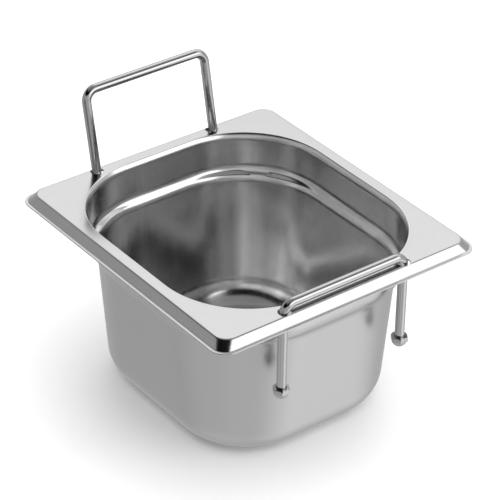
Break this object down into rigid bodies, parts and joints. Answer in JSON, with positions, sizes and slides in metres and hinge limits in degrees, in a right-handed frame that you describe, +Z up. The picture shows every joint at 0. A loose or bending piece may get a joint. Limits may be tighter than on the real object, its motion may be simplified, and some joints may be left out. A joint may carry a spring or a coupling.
{
  "type": "food pan",
  "caption": "Deep rectangular steel food pan with rounded corners, a flat rim with a sloping apron, and a retractable rod handle along each of its short sides.",
  "frame": {"origin": "centre of the underside of the base", "axes": "+Z up out of the open mouth; +X along the handle bars, across the 162 mm side; +Y along the 176 mm side, from the lowered front handle to the raised rear handle"},
  "size_m": [0.162, 0.1794, 0.1464],
  "materials": {
    "pan_steel": "satin",
    "rod_steel": "polished",
    "nut_steel": "polished"
  },
  "bodies": {
    "pan": {"pan": "pan_steel"},
    "front_handle": {"front_handle": "rod_steel", "front_left_nut": "nut_steel", "front_right_nut": "nut_steel"},
    "rear_handle": {"rear_handle": "rod_steel", "rear_left_nut": "nut_steel", "rear_right_nut": "nut_steel"}
  },
  "joints": [
    {"name": "front_handle_lift", "type": "hinge", "parent": "pan", "child": "front_handle", "pos_m": [0, -0.27923, 0.07908], "axis": [1, 0, 0], "range_deg": [0, 11.8]},
    {"name": "rear_handle_drop", "type": "hinge", "parent": "pan", "child": "rear_handle", "pos_m": [0, 0.27923, 0.07908], "axis": [1, 0, 0], "range_deg": [0, 11.8]}
  ]
}
